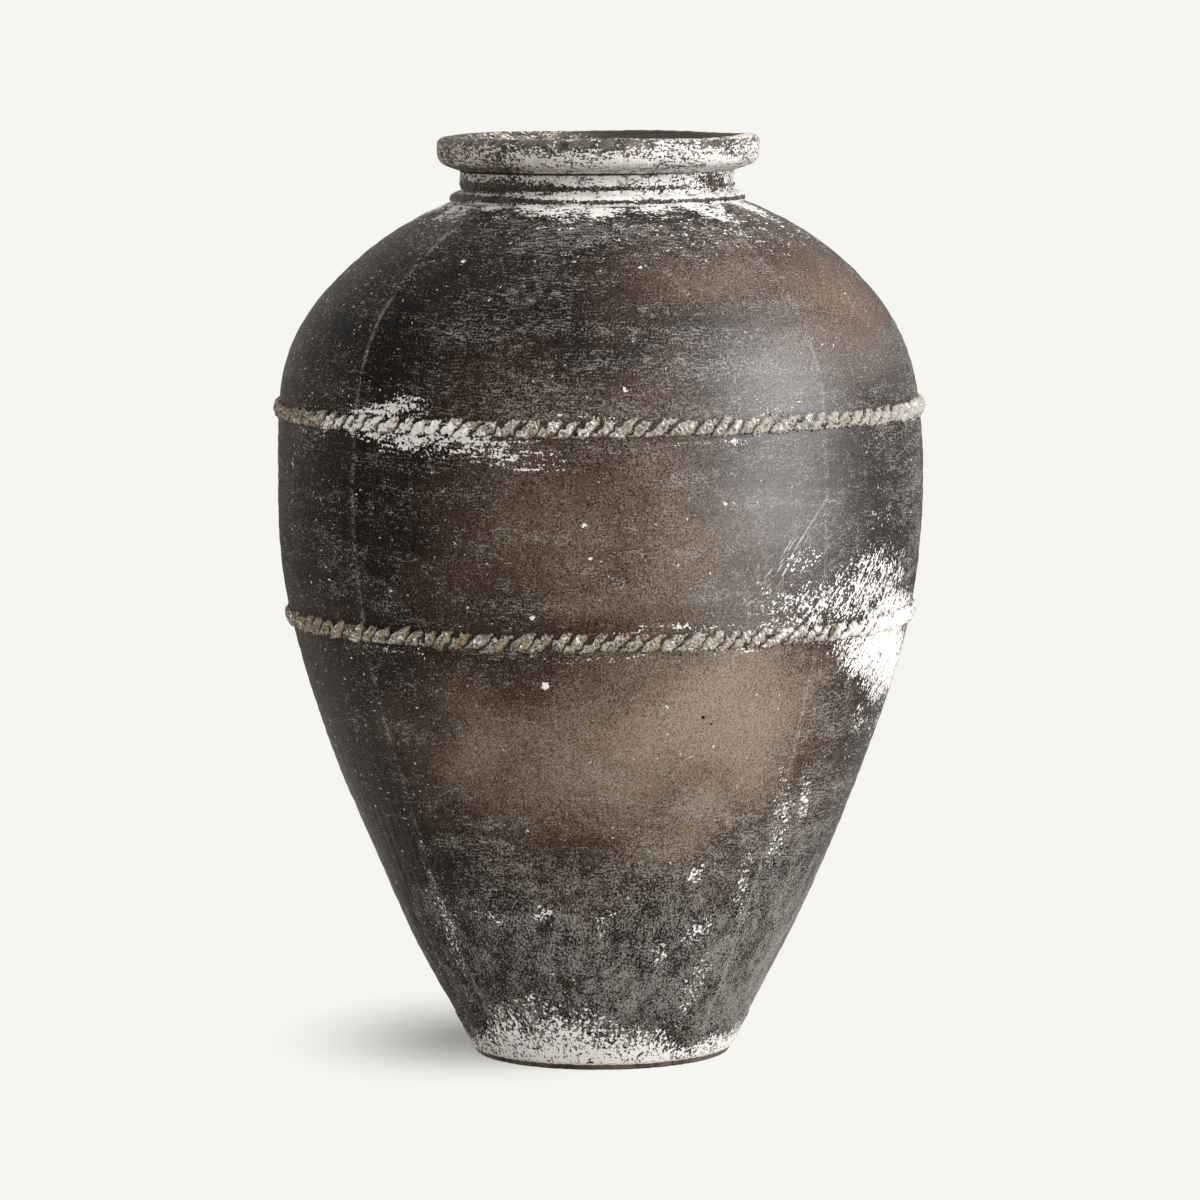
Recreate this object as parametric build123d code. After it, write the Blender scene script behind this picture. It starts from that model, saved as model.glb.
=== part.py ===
from build123d import *
import os
from math import acos, asin, cos, degrees, hypot, radians, sin

# A floor-standing clay storage jar, built up from pressed quarter walls on a floor slab.
# The jar stands on z = 0 with its axis on Z. Sizes are millimetres, angles are degrees.
# Luted clay joints have no clearance: neighbouring pieces share their faces.

# Body outline, outside face
belly_radius = 252.8
belly_height = 452.0
upper_belly_arc = 547.0
shoulder_turn_arc = 148.6
shoulder_turn_start = 7.2
shoulder_turn_end = 40.1
shoulder_rise = 221.8
lower_belly_arc = 529.0
lower_belly_sweep = 18.3
foot_band_radius = 114.6
foot_band_height = 30.0
foot_radius = 100.4
wall = 13.0

# Floor slab, and the coil worked into the angle above it
base_flange = 6.0
floor_boss = 10.0
base_edge_round = 3.0
floor_coil_leg = 15.0

# Coils smeared over the four seams inside
seam_coil_width = 22.0
seam_coil_depth = 5.0
seam_coil_top_gap = 14.0

# Rope bands: distance of each band from the widest line, its half round, and its slanting finger grooves
lower_rope_drop = 103.0
lower_rope_tall = 15.0
upper_rope_rise = 57.5
upper_rope_tall = 14.0
rope_proud = 4.2
rope_pitch = 15.0
rope_lean = 44.0
groove_radius = 3.4
groove_depth = 2.8

# Neck, with a spigot through the shoulder and a tongue up into the rim
throat_radius = 93.0
neck_spigot = 6.5
neck_flange = 7.3
neck_height = 21.2
neck_tongue = 8.0
collar_reach = 8.2
collar_rise = 5.8

# Rolled rim
rim_overhang = 19.0
rim_rise = 27.4
rim_slant = 7.0
rim_crest_width = 12.3
rim_mouth_fall = 15.0
rim_crest_round = 5.0
rim_outer_round = 6.5
rim_under_round = 12.0
rim_inner_round = 6.0

# The four quarters, anticlockwise from +X, and the seam that follows each
side_names = ["right", "back", "left", "front"]
seam_names = ["back_right", "back_left", "front_left", "front_right"]
quarter = 360 / len(side_names)


class Bend:
    """One arc of the body outline: its centre, its radius, and the way it faces at its two ends."""

    def __init__(self, centre, radius, top=None, bottom=None):
        self.centre = centre
        self.radius = radius
        self.top = top
        self.bottom = bottom

    def at(self, facing, depth=0.0):
        """The point that faces the given way, moved into the wall by depth."""
        reach = self.radius - depth
        return (self.centre[0] + reach * cos(facing), self.centre[1] + reach * sin(facing))

    def facing_at_radius(self, r, depth=0.0):
        """The way the arc, moved in by depth, faces where it is r from the axis."""
        return acos((r - self.centre[0]) / (self.radius - depth))

    def facing_at_height(self, z, depth=0.0):
        """The way the arc, moved in by depth, faces at height z."""
        return asin((z - self.centre[1]) / (self.radius - depth))

    def edge(self, depth, top=None, bottom=None):
        """The arc as an edge from its top end to its bottom end, moved in by depth."""
        start = self.top if top is None else top
        end = self.bottom if bottom is None else bottom
        middle = (start + end) / 2
        return ThreePointArc(self.at(start, depth), self.at(middle, depth), self.at(end, depth))


def bend_on(start, facing, radius):
    """The arc that carries on smoothly from start, where the wall faces the given way."""
    return Bend((start[0] - radius * cos(facing), start[1] - radius * sin(facing)), radius)


def radius_to(start, facing, end):
    """Radius of the arc that carries on smoothly from start and passes through end."""
    run = (end[0] - start[0], end[1] - start[1])
    inward = -(run[0] * cos(facing) + run[1] * sin(facing))
    return hypot(*run) ** 2 / (2 * inward)


# Body outline: three arcs above the widest line and two below it, each tangent to the next
spigot_radius = throat_radius + neck_spigot
neck_radius = spigot_radius + neck_flange
shoulder_top = (spigot_radius, belly_height + shoulder_rise)
foot_band_top = (foot_band_radius, foot_band_height)
turn_start = radians(shoulder_turn_start)
turn_end = radians(shoulder_turn_end)
belly_end = -radians(lower_belly_sweep)

upper_belly = Bend((belly_radius - upper_belly_arc, belly_height), upper_belly_arc, turn_start, 0.0)
shoulder_turn = bend_on(upper_belly.at(turn_start), turn_start, shoulder_turn_arc)
shoulder_turn.top = turn_end
shoulder_turn.bottom = turn_start
slope_foot = shoulder_turn.at(turn_end)
shoulder_slope = bend_on(slope_foot, turn_end, radius_to(slope_foot, turn_end, shoulder_top))
shoulder_slope.top = shoulder_slope.facing_at_radius(spigot_radius)
shoulder_slope.bottom = turn_end
lower_belly = Bend((belly_radius - lower_belly_arc, belly_height), lower_belly_arc, 0.0, belly_end)
lower_joint = lower_belly.at(belly_end)
lower_wall = bend_on(lower_joint, belly_end, radius_to(lower_joint, belly_end, foot_band_top))
lower_wall.top = belly_end
lower_wall.bottom = lower_wall.facing_at_height(foot_band_height)
bends = [shoulder_slope, shoulder_turn, upper_belly, lower_belly, lower_wall]

floor_top = base_flange + floor_boss
foot_spread = (foot_band_radius - foot_radius) / foot_band_height
flange_radius = foot_radius + foot_spread * base_flange
boss_radius = lower_wall.at(lower_wall.facing_at_height(floor_top, wall), wall)[0]
coil_top = floor_top + floor_coil_leg
neck_seat = shoulder_slope.at(shoulder_slope.facing_at_radius(neck_radius))[1]
rim_seat = neck_seat + neck_height
rim_top = rim_seat + rim_rise
rim_radius = neck_radius + rim_overhang


def body_edges(depth, r_top, z_bottom):
    """The outline moved into the wall by depth, from radius r_top on the shoulder down to height z_bottom."""
    top = shoulder_slope.facing_at_radius(r_top, depth)
    bottom = lower_wall.facing_at_height(z_bottom, depth)
    between = [bend.edge(depth) for bend in bends[1:-1]]
    return [shoulder_slope.edge(depth, top=top), *between, lower_wall.edge(depth, bottom=bottom)]


def bend_at(z):
    """The arc of the outline that passes height z."""
    return next((bend for bend in bends if bend.at(bend.bottom)[1] <= z), lower_wall)


def ring(section):
    """A full turn of a section drawn in radius and height."""
    return revolve(Plane.XZ * section, Axis.Z)


def quarter_ring(section):
    """A quarter turn of a section, centred on +X."""
    return Rot(Z=-quarter / 2) * revolve(Plane.XZ * section, Axis.Z, quarter)


def rounded(section, corner, radius):
    """The section with its corner nearest to the given point rounded."""
    return fillet(section.vertices().sort_by_distance(corner)[0], radius)


# Quarter wall: the outline and its inner copy, with a bed at the foot that stands on the floor slab
outer_edges = body_edges(0.0, spigot_radius, foot_band_height)
inner_edges = body_edges(wall, spigot_radius, floor_top)
foot_line = Line(outer_edges[-1] @ 1, (flange_radius, base_flange))
foot_bed = Line(foot_line @ 1, (boss_radius, base_flange))
boss_side = Line(foot_bed @ 1, inner_edges[-1] @ 1)
mouth_edge = Line(inner_edges[0] @ 0, outer_edges[0] @ 0)
wall_section = make_face(outer_edges + [foot_line, foot_bed, boss_side] + inner_edges + [mouth_edge])

# All that lies inside the outline, cut away from what is luted on outside
axis_side = Polyline(outer_edges[-1] @ 1, (0, foot_band_height), (0, shoulder_top[1]), outer_edges[0] @ 0)
body_core = make_face(outer_edges + [axis_side])

# Floor slab: a flange under the walls and a boss between them
base_corner = (foot_radius, 0.0)
base_section = make_face(
    Polyline((0, 0), base_corner, foot_line @ 1, foot_bed @ 1, boss_side @ 1, (0, floor_top), close=True)
)
base_section = rounded(base_section, base_corner, base_edge_round)

# Floor coil: bevelled between the boss and the wall
coil_facing = lower_wall.facing_at_height(coil_top, wall)
floor_facing = lower_wall.facing_at_height(floor_top, wall)
coil_back = lower_wall.edge(wall, top=coil_facing, bottom=floor_facing)
coil_face = Polyline(coil_back @ 1, (boss_radius - floor_coil_leg, floor_top), coil_back @ 0)
floor_coil_section = make_face([coil_back, coil_face])

# Neck: spigot and tongue in one upright ring, and a flange that sits on the shoulder
neck_bottom = (inner_edges[0] @ 0).Y
tongue_top = rim_seat + neck_tongue
spigot = Pos(throat_radius, neck_bottom) * Rectangle(neck_spigot, tongue_top - neck_bottom, align=Align.MIN)
flange = Pos(spigot_radius, neck_bottom) * Rectangle(neck_flange, rim_seat - neck_bottom, align=Align.MIN)
neck_section = spigot + (flange - body_core)

# Collar: a flattened quarter round in the angle between neck and shoulder
inside_neck = Pos(0, neck_bottom) * Rectangle(neck_radius, rim_top - neck_bottom, align=Align.MIN)
collar_section = Pos(neck_radius, neck_seat) * Ellipse(collar_reach, collar_rise) - body_core - inside_neck

# Rim: slanting underside, rounded lip, and a mouth that narrows like a funnel to the throat
rim_mouth = (throat_radius, rim_top - rim_mouth_fall)
rim_crest = (rim_radius - rim_crest_width, rim_top)
rim_edge = (rim_radius, rim_top)
rim_under = (rim_radius, rim_seat + rim_slant)
rim_feet = [(neck_radius, rim_seat), (throat_radius, rim_seat)]
rim_section = make_face(Polyline(rim_mouth, rim_crest, rim_edge, rim_under, *rim_feet, close=True))
rim_section = rounded(rim_section, rim_mouth, rim_inner_round)
rim_section = rounded(rim_section, rim_crest, rim_crest_round)
rim_section = rounded(rim_section, rim_edge, rim_outer_round)
rim_section = rounded(rim_section, rim_under, rim_under_round)
rim_section -= spigot


def rope_quarter(middle_height, tall):
    """A quarter of a rope band: a half round cordon with slanting grooves at an even pitch."""
    bend = bend_at(middle_height)
    facing = bend.facing_at_height(middle_height)
    cordon_radius = ((tall / 2) ** 2 + rope_proud**2) / (2 * rope_proud)
    cordon = Pos(*bend.at(facing, cordon_radius - rope_proud)) * Circle(cordon_radius)
    groove_r, groove_z = bend.at(facing, groove_depth - groove_radius - rope_proud)
    lobes = round(radians(quarter) * groove_r / rope_pitch)
    groove = Pos(groove_r, 0, groove_z) * Rot(Y=-degrees(facing)) * Rot(X=-rope_lean)
    groove *= Cylinder(groove_radius, 2 * tall)
    grooves = [Rot(Z=quarter * (lobe / lobes - 0.5)) * groove for lobe in range(lobes + 1)]
    return quarter_ring(cordon - body_core) - grooves


def seam_coil():
    """A flat coil along the inside of one seam, from the floor coil up to just short of the neck."""
    r_top = spigot_radius + seam_coil_top_gap
    back = body_edges(wall, r_top, coil_top)
    face = body_edges(wall + seam_coil_depth, r_top, coil_top)
    ends = [Line(back[0] @ 0, face[0] @ 0), Line(back[-1] @ 1, face[-1] @ 1)]
    lining = quarter_ring(make_face(back + face + ends))
    return lining & Box(3 * belly_radius, seam_coil_width, 3 * rim_top)


pieces = {
    "base_disc": ring(base_section),
    "floor_coil": ring(floor_coil_section),
    "neck_ring": ring(neck_section),
    "collar_ring": ring(collar_section),
    "rim_roll": ring(rim_section),
}
wall_quarter = quarter_ring(wall_section)
lower_rope = rope_quarter(belly_height - lower_rope_drop, lower_rope_tall)
upper_rope = rope_quarter(belly_height + upper_rope_rise, upper_rope_tall)
inside_coil = seam_coil()
for place, (side, seam) in enumerate(zip(side_names, seam_names)):
    turn = Rot(Z=place * quarter)
    pieces[f"wall_{side}"] = turn * wall_quarter
    pieces[f"lower_rope_{side}"] = turn * lower_rope
    pieces[f"upper_rope_{side}"] = turn * upper_rope
    pieces[f"seam_coil_{seam}"] = turn * Rot(Z=quarter / 2) * inside_coil

os.makedirs("parts", exist_ok=True)
for node, solid in pieces.items():
    export_step(solid, f"parts/{node}.step")
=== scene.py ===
import math

import bpy
import numpy as np
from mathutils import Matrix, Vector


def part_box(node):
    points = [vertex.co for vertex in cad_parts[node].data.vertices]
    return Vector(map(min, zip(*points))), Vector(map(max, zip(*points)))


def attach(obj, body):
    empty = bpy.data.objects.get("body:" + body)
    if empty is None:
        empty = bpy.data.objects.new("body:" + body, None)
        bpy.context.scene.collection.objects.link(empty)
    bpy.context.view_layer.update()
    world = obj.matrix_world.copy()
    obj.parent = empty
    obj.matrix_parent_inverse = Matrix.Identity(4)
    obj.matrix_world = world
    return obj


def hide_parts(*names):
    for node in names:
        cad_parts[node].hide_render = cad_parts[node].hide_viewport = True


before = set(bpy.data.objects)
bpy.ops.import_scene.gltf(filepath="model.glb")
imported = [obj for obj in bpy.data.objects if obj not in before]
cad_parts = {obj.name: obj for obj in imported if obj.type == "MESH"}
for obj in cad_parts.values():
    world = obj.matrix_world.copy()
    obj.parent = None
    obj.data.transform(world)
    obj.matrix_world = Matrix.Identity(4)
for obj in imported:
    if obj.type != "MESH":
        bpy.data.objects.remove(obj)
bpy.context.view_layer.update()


# Floor slab
# The round slab of coarse clay that the jar is built up on: a flange under the walls and a boss between
# them. Its sawn edge shows as a thin bare dark line under the chalked foot, which is painted contact
# shadow, and is chipped here and there.

SEED = 7
slab_flange_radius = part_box("base_disc")[1][0]
slab_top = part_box("base_disc")[1][2]
slab_flange_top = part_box("wall_front")[0][2]
slab_foot_radius = slab_flange_radius - 0.0028
slab_boss_radius = slab_flange_radius - 0.0104
slab_edge_round = 0.003
slab_chip_depth = 0.0011
slab_hub = 0.03
slab_shadow_line = 0.0040
slab_chalk_line = 0.0052


def hand_waves(azimuth, height, seed, count, turns, waves, size):
    """Unevenness of hand work: a sum of sine waves of random direction and phase. Each wave runs a whole
    number of times round the jar, up to turns, and up to waves times per metre of height."""
    draw = np.random.default_rng(SEED + seed)
    total = np.zeros(np.broadcast(azimuth, height).shape)
    for wave in range(count):
        round_the_jar = draw.integers(-turns, turns + 1)
        upward = draw.uniform(-waves, waves) * 2 * math.pi
        phase = draw.uniform(0, 2 * math.pi)
        total += np.sin(round_the_jar * azimuth + upward * height + phase)
    return total * size / math.sqrt(count / 2)


def ramp(value, start, end):
    """0 up to start, 1 from end on, and an even slope between them. End may be the smaller of the two."""
    return np.clip((value - start) / (end - start), 0, 1)


def stepped(value, base, *steps):
    """Base with steps added to it, each an amount that comes in evenly between two values."""
    for amount, start, end in steps:
        base = base + amount * ramp(value, start, end)
    return base


def hump(value, half, power=2):
    """1 at nought, fading on both sides by exp(-(value / half)^power)."""
    return np.exp(-((value / half) ** power))


def carried(name, radius, height, azimuth, turn):
    """A section carried round the axis. Rows follow the section, down outside and up inside, and columns
    go round: x = radius sin(azimuth), y = -radius cos(azimuth). Turn says what closes the shape: a "ring"
    meets itself both ways, a "part" turn gets two flat ends, and a "disc" gets a flat top and bottom."""
    place = np.stack([radius * np.sin(azimuth), -radius * np.cos(azimuth), height], axis=-1)
    rows, columns = radius.shape
    index = np.arange(rows * columns).reshape(rows, columns)
    below = np.roll(index, -1, axis=0)
    beside = np.roll(index, -1, axis=1)
    below_beside = np.roll(below, -1, axis=1)
    quads = np.stack([index, below, below_beside, beside], axis=-1)
    caps = []
    if turn == "part":
        quads = quads[:, :-1]
        caps = [index[::-1, 0], index[:, -1]]
    if turn == "disc":
        quads = quads[:-1]
        caps = [index[0], index[-1, ::-1]]
    faces = quads.reshape(-1, 4).tolist() + [cap.tolist() for cap in caps]
    mesh = bpy.data.meshes.new(name)
    mesh.from_pydata(place.reshape(-1, 3).tolist(), [], faces)
    mesh.validate()
    mesh.shade_smooth()
    mesh.set_sharp_from_angle(angle=math.radians(55))
    piece = bpy.data.objects.new(name, mesh)
    bpy.context.scene.collection.objects.link(piece)
    return piece


def full_turn(columns):
    """Bearings in radians of so many columns, all the way round the jar."""
    return np.linspace(-math.pi, math.pi, columns, endpoint=False)[None, :]


def paint(piece, **fields):
    """Keeps one number per vertex for each named field, for the material to read."""
    for field, values in fields.items():
        layer = piece.data.attributes.new(field, "FLOAT", "POINT")
        layer.data.foreach_set("value", np.ascontiguousarray(values, dtype=np.float32).reshape(-1))


def fixed_as(piece, node, finish):
    """Gives the piece its finish, and its place in the part: it stands for a node of the fired jar."""
    piece.data.materials.append(finish)
    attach(piece, "root")
    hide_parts(node)


def run(start, end, steps):
    """Points of a straight stretch of a section, without the last one."""
    share = np.arange(steps) / steps
    return np.stack([start[0] + (end[0] - start[0]) * share, start[1] + (end[1] - start[1]) * share])


def bow(centre, radius, start, end, steps):
    """Points of a round stretch of a section between two angles in degrees, without the last one."""
    angle = np.radians(start + (end - start) * np.arange(steps) / steps)
    return np.stack([centre[0] + radius * np.cos(angle), centre[1] + radius * np.sin(angle)])


def path(*corners):
    """Straight stretches of a section through corners, each with the number of steps to the next one."""
    stretches = [run(start, end, start[2]) for start, end in zip(corners, corners[1:])]
    return np.concatenate(stretches, axis=1)


class Finish:
    """A material put together step by step: each call adds one node and gives back what comes out of it."""

    def __init__(self, name):
        self.material = bpy.data.materials.new(name)
        self.material.use_nodes = True
        self.tree = self.material.node_tree
        self.shader = self.tree.nodes["Principled BSDF"]
        self.place = self.add("ShaderNodeTexCoord", out="Object")

    def add(self, kind, sockets=None, out=0, **settings):
        """One node: settings are its properties, sockets its inputs by name or number."""
        node = self.tree.nodes.new(kind)
        for setting, value in settings.items():
            setattr(node, setting, value)
        for socket, value in (sockets or {}).items():
            self.feed(node.inputs[socket], value)
        return node.outputs[out]

    def feed(self, socket, value):
        """Links a socket to what another node gives, or sets it to a number or colour."""
        if isinstance(value, bpy.types.NodeSocket):
            self.tree.links.new(value, socket)
        else:
            socket.default_value = value

    def field(self, name):
        """A number kept on the vertices."""
        return self.add("ShaderNodeAttribute", out="Fac", attribute_name=name)

    def noise(self, scale, detail=3.0, rough=0.6, at=None, warp=0.0):
        """Cloudy noise, from 0 to 1 with most of it near 0.5. Scale is in lumps per metre."""
        sockets = {"Vector": at or self.place, "Scale": scale, "Detail": detail}
        sockets.update({"Roughness": rough, "Distortion": warp})
        return self.add("ShaderNodeTexNoise", sockets)

    def centred(self, value):
        """A number between 0 and 1 moved to lie about nought."""
        return self.sum("SUBTRACT", value, 0.5)

    def waver(self, scale, detail=3.0, rough=0.6):
        """Cloudy noise about nought."""
        return self.centred(self.noise(scale, detail, rough))

    def drawn(self, scale, detail, rough=0.6):
        """Cloudy noise drawn out into streaks. Scale is in lumps per metre along each axis."""
        place = self.add("ShaderNodeMapping", {"Vector": self.place, "Scale": scale})
        return self.noise(1.0, detail, rough, at=place)

    def strokes(self, bearing, lean, along, across):
        """Noise drawn out into strokes on the side of the jar at a bearing, leaning so many degrees
        from level. Along and across are in strokes per metre."""
        place = self.place
        for turn in ((0, 0, -bearing), (0, lean, 0)):
            place = self.add("ShaderNodeMapping", {"Vector": place, "Rotation": np.radians(turn)})
        place = self.add("ShaderNodeMapping", {"Vector": place, "Scale": (along, across, across)})
        return self.noise(1.0, 3.0, 0.55, at=place)

    def vector(self, operation, first, second=(0, 0, 0), out=0):
        """Arithmetic on two places. To scale one, second is a number."""
        sockets = {0: first, "Scale" if operation == "SCALE" else 1: second}
        return self.add("ShaderNodeVectorMath", sockets, out=out, operation=operation)

    def shifted(self, scale, reach, middle=0.5):
        """The place on the jar moved by noise of up to about reach metres, for edges that aren't true."""
        noise = {"Vector": self.place, "Scale": scale, "Detail": 3.0}
        shift = self.vector("SUBTRACT", self.add("ShaderNodeTexNoise", noise, out="Color"), (middle,) * 3)
        return self.vector("ADD", self.place, self.vector("SCALE", shift, reach))

    def sum(self, operation, first, second=0.0):
        """Arithmetic on two numbers."""
        return self.add("ShaderNodeMath", {0: first, 1: second}, operation=operation)

    def times(self, first, second):
        """One number times another."""
        return self.sum("MULTIPLY", first, second)

    def tally(self, *terms):
        """Sum of terms, each a value or a (value, weight) pair."""
        total = 0.0
        for term in terms:
            value = self.times(*term) if isinstance(term, tuple) else term
            total = self.sum("ADD", value, total)
        return total

    def fade(self, value, low, high, to_low=0.0, to_high=1.0):
        """A soft step: to_low where value is under low, to_high where it is over high."""
        sockets = {"Value": value, "From Min": low, "From Max": high, "To Min": to_low, "To Max": to_high}
        return self.add("ShaderNodeMapRange", sockets, interpolation_type="SMOOTHSTEP")

    def blend(self, share, under, over):
        """Number under with a share of number over laid on it."""
        return self.add("ShaderNodeMix", {0: share, 2: under, 3: over})

    def mix(self, share, under, over):
        """Colour under with a share of colour over laid on it."""
        return self.add("ShaderNodeMix", {0: share, 6: under, 7: over}, out=2, data_type="RGBA")

    def laid(self, tone, *layers):
        """Colour with layers laid on it in turn, each a share and a colour."""
        for share, colour in layers:
            tone = self.mix(share, tone, colour)
        return tone

    def done(self, colour, roughness, gloss, *reliefs):
        """Feeds the shader and gives back the material. Each relief is a height from 0 to 1 and its
        depth in metres, and lies on the one before."""
        self.feed(self.shader.inputs["Base Color"], colour)
        self.feed(self.shader.inputs["Roughness"], roughness)
        self.feed(self.shader.inputs["Specular IOR Level"], gloss)
        below = {}
        for height, depth in reliefs:
            sockets = {"Strength": 1.0, "Distance": depth, "Height": height, **below}
            bumps = self.add("ShaderNodeBump", sockets)
            self.feed(self.shader.inputs["Normal"], bumps)
            below = {"Normal": bumps}
        return self.material


def bare_clay(name, pale, dark, edge=None):
    """Unslipped fired clay: two tones in clouds, sandy grain, open pores, and what edge lays on it."""
    clay = Finish(name)
    clouds = clay.fade(clay.noise(22.0, 5.0), 0.35, 0.65)
    grain = clay.noise(900.0, 2.0, 0.7)
    sand = clay.fade(grain, 0.55, 0.75, 0.0, 0.45)
    tone = clay.laid(dark, (clouds, pale), (sand, (0.52, 0.46, 0.40, 1)))
    pores = clay.fade(clay.noise(330.0, 2.0, 0.5), 0.27, 0.33)
    tone = clay.mix(pores, (0.05, 0.04, 0.035, 1), tone)
    tone = edge(clay, tone) if edge else tone
    return clay.done(tone, 0.85, 0.5, (grain, 0.0004), (pores, 0.0006))


def chalked_edge(clay, tone):
    """Clay tone with chalk left on its edge, broken by chips that show the clay."""
    left = clay.tally(clay.field("chalk"), (clay.waver(260.0, 3.0), 1.6), (clay.waver(60.0, 3.0), 0.8))
    return clay.mix(clay.fade(left, 0.42, 0.56), tone, (0.66, 0.62, 0.565, 1))


def slab_section():
    """Edge of the slab from the jar's floor out over the boss, down the flange and in under the foot."""
    corner = (slab_foot_radius - slab_edge_round, slab_edge_round)
    return np.concatenate([
        path(
            (slab_hub, slab_top, 12),
            (slab_boss_radius, slab_top, 4),
            (slab_boss_radius, slab_flange_top, 4),
            (slab_flange_radius, slab_flange_top, 5),
            (slab_foot_radius, slab_edge_round, 0),
        ),
        bow(corner, slab_edge_round, 0, -90, 6),
        run((slab_foot_radius - slab_edge_round, 0), (slab_hub, 0), 12),
    ], axis=1)


slab_turns = full_turn(720)
slab_r, slab_z = slab_section()[:, :, None] + 0 * slab_turns
slab_edge = hump(slab_r - slab_foot_radius, 0.004) * (slab_z < slab_flange_top)
slab_chips = np.clip(hand_waves(slab_turns, slab_z, 1, 30, 90, 60, 1.0) - 0.5, 0, 1)
slab_r = slab_r - slab_edge * slab_chip_depth * slab_chips
slab = carried("floor_slab", slab_r, slab_z, slab_turns, "disc")
on_edge = ramp(slab_r, slab_foot_radius - 0.004, slab_foot_radius - 0.002)
on_edge = on_edge * (slab_z < slab_flange_top + 0.0005)
# No chalk on the lowest strip of the edge: painted contact shadow under the foot
paint(slab, chalk=1.1 * on_edge * ramp(slab_z, slab_shadow_line, slab_chalk_line))
slab_clay = bare_clay("bare_slab_clay", (0.150, 0.105, 0.072, 1), (0.036, 0.026, 0.020, 1), chalked_edge)
fixed_as(slab, "base_disc", slab_clay)


# Quarter walls
# Four quarters of grogged clay pressed in a mould and luted edge to edge on the slab, then brushed with a
# dark slip, smoke-clouded in the kiln and rubbed with chalk wash, which stays in hollows, on seams and
# round the foot.

belly_radius = 0.2528
belly_height = 0.452
upper_belly_arc = 0.547
shoulder_turn_arc = 0.1486
shoulder_slope_arc = 0.24401
turn_start = math.radians(7.2)
turn_end = math.radians(40.1)
mouth_radius = 0.0995
lower_belly_arc = 0.529
lower_belly_end = math.radians(-18.3)
lower_wall_arc = 1.5486
foot_band_top = 0.030
wall_thick = 0.013
wall_waviness = 0.0005
wall_columns = 249
foot_rows = 8
seam_fin = 0.0006
seam_cut = 0.0006
rope_levels = {"lower": (0.349, 0.0075), "upper": (0.5095, 0.0070)}
quarter_middles = {"front": 0.0, "right": 90.0, "back": 180.0, "left": -90.0}
slip_black = (0.0110, 0.0069, 0.0050, 1)
slip_umber = (0.0640, 0.0385, 0.0260, 1)
slip_taupe = (0.284, 0.211, 0.163, 1)
slip_sand = (0.440, 0.350, 0.285, 1)
soot_black = (0.0048, 0.0038, 0.0032, 1)
dust_grey = (0.280, 0.259, 0.242, 1)
# Smooth pale grey of the painted sheen on the right of the belly
film_grey = (0.430, 0.428, 0.436, 1)
seam_buff = (0.430, 0.395, 0.350, 1)
slip_russet = (0.186, 0.112, 0.077, 1)
chalk_white = (0.770, 0.757, 0.735, 1)
chalk_stained = (0.640, 0.578, 0.508, 1)
slip_gloss = 0.12
scratch_bearing = 40.0
scratch_lean = 50.0
foot_wash_bottom = 0.012
collar_wash_top = 0.6684
chalk_flecks = [
    (-7.9, 0.3154, 0.0032), (-31.4, 0.629, 0.0022), (12.0, 0.626, 0.0016), (-0.4, 0.438, 0.0018),
    (0.6, 0.413, 0.0016), (-9.5, 0.368, 0.0018), (6.8, 0.538, 0.0016), (24.0, 0.452, 0.0016),
    (31.0, 0.468, 0.0018),
]
black_pits = [(22.0, 0.289, 0.0016), (23.7, 0.283, 0.0011)]


def next_centre(centre, radius, facing, next_radius):
    """Centre of the arc that carries on smoothly from another arc, where the wall faces the given way."""
    reach = radius - next_radius
    return (centre[0] + reach * math.cos(facing), centre[1] + reach * math.sin(facing))


upper_belly_centre = (belly_radius - upper_belly_arc, belly_height)
turn_centre = next_centre(upper_belly_centre, upper_belly_arc, turn_start, shoulder_turn_arc)
slope_centre = next_centre(turn_centre, shoulder_turn_arc, turn_end, shoulder_slope_arc)
lower_belly_centre = (belly_radius - lower_belly_arc, belly_height)
lower_wall_centre = next_centre(lower_belly_centre, lower_belly_arc, lower_belly_end, lower_wall_arc)


def body_outline(depth, r_top, z_bottom, spacing):
    """Body outline as five tangent arcs, moved into the wall by depth, from radius r_top on the shoulder
    down to height z_bottom: radius, height and the way the wall faces, at points about spacing apart."""
    top = math.acos((r_top - slope_centre[0]) / (shoulder_slope_arc - depth))
    bottom = math.asin((z_bottom - lower_wall_centre[1]) / (lower_wall_arc - depth))
    arcs = [
        (slope_centre, shoulder_slope_arc, top, turn_end),
        (turn_centre, shoulder_turn_arc, turn_end, turn_start),
        (upper_belly_centre, upper_belly_arc, turn_start, 0.0),
        (lower_belly_centre, lower_belly_arc, 0.0, lower_belly_end),
        (lower_wall_centre, lower_wall_arc, lower_belly_end, bottom),
    ]
    stretches = []
    for centre, radius, start, end in arcs:
        reach = radius - depth
        steps = max(2, round(reach * abs(end - start) / spacing))
        facing = start + (end - start) * np.arange(steps) / steps
        stretches.append([centre[0] + reach * np.cos(facing), centre[1] + reach * np.sin(facing), facing])
    return np.concatenate(stretches, axis=1)


def angle_from(azimuth, middle):
    """Degrees round the jar from a bearing, between -180 and 180."""
    return (np.degrees(azimuth) - middle + 180) % 360 - 180


def blot(azimuth, height, bearing, level, wide, tall, lean=0.0, soft=1.0):
    """A soft patch on the jar: 1 at its middle and fading by exp(-d^(2 soft)), where d is the distance in
    half widths (degrees) and half heights (metres). Lean slides it sideways by so many degrees per metre
    of height."""
    rise = height - level
    across = (angle_from(azimuth, bearing) - lean * rise) / wide
    return np.exp(-((across**2 + (rise / tall) ** 2) ** soft))


def strongest(azimuth, height, patches, soft=1.0):
    """The strongest at each place of soft patches, each given as for blot with its strength last."""
    cover = np.zeros(np.broadcast(azimuth, height).shape)
    for *place, strength in patches:
        cover = np.maximum(cover, strength * blot(azimuth, height, *place, soft=soft))
    return cover


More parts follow.
